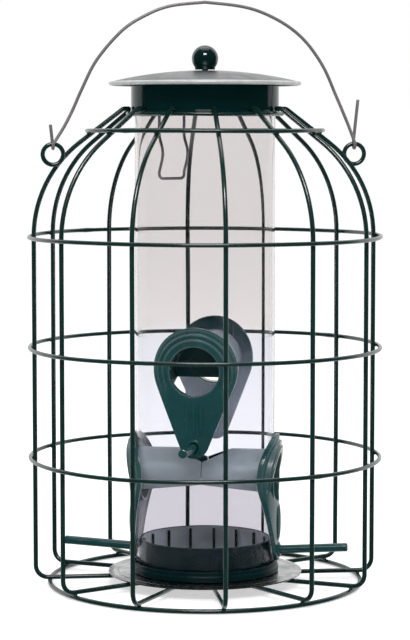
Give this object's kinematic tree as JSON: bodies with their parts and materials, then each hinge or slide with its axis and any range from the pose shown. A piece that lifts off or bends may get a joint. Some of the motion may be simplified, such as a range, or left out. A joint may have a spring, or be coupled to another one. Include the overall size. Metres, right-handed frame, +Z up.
{
  "type": "caged bird feeder",
  "caption": "hanging seed tube inside a round wire cage, with perches and feeding ports, a lift-off lid and a wire bail",
  "frame": {"origin": "on the floor, under the middle of the base hoop", "axes": "+Z up along the tube, -Y through the front feeding port, +X through the right one"},
  "size_m": [0.1748, 0.1748, 0.2866],
  "materials": {
    "green_enamel": "gloss enamel, dark green",
    "green_plastic": "moulded, dark green, satin",
    "galvanised_sheet": "galvanised sheet, grey",
    "bare_steel": "bare drawn wire, brown-grey",
    "clear_plastic": "clear extruded tube, faint lilac tint"
  },
  "bodies": {
    "cage": {"rib_01": "green_enamel", "rib_02": "green_enamel", "rib_03": "green_enamel", "rib_04": "green_enamel", "rib_05": "green_enamel", "rib_06": "green_enamel", "rib_07": "green_enamel", "rib_08": "green_enamel", "rib_09": "green_enamel", "rib_10": "green_enamel", "rib_11": "green_enamel", "rib_12": "green_enamel", "base_hoop": "green_enamel", "lower_hoop": "green_enamel", "middle_hoop": "green_enamel", "upper_hoop": "green_enamel", "shoulder_hoop": "green_enamel", "neck_hoop": "green_enamel", "ear_right": "green_enamel", "ear_left": "green_enamel", "neck_collar": "green_enamel", "port_front": "green_plastic", "port_right": "green_plastic", "port_back": "green_plastic", "port_left": "green_plastic", "perch_front": "green_plastic", "perch_right": "green_plastic", "perch_back": "green_plastic", "perch_left": "green_plastic", "base_cup": "green_plastic", "bottom_plate": "galvanised_sheet", "base_screw": "bare_steel", "base_nut": "bare_steel", "feed_tube": "clear_plastic"},
    "lid": {"lid_dome": "galvanised_sheet", "lid_insert": "green_plastic", "lid_knob": "green_enamel", "lid_screw": "bare_steel", "lid_catch": "bare_steel"},
    "bail": {"bail_wire": "bare_steel"}
  },
  "joints": [
    {"name": "bail_swing", "type": "hinge", "parent": "cage", "child": "bail", "pos_m": [0, 0, 0.217], "axis": [0.9558, 0.294, 0], "range_deg": [-88, 88]},
    {"name": "lid_lift", "type": "slide", "parent": "cage", "child": "lid", "axis": [0, 0, 1], "range_m": [0, 0.014]}
  ]
}
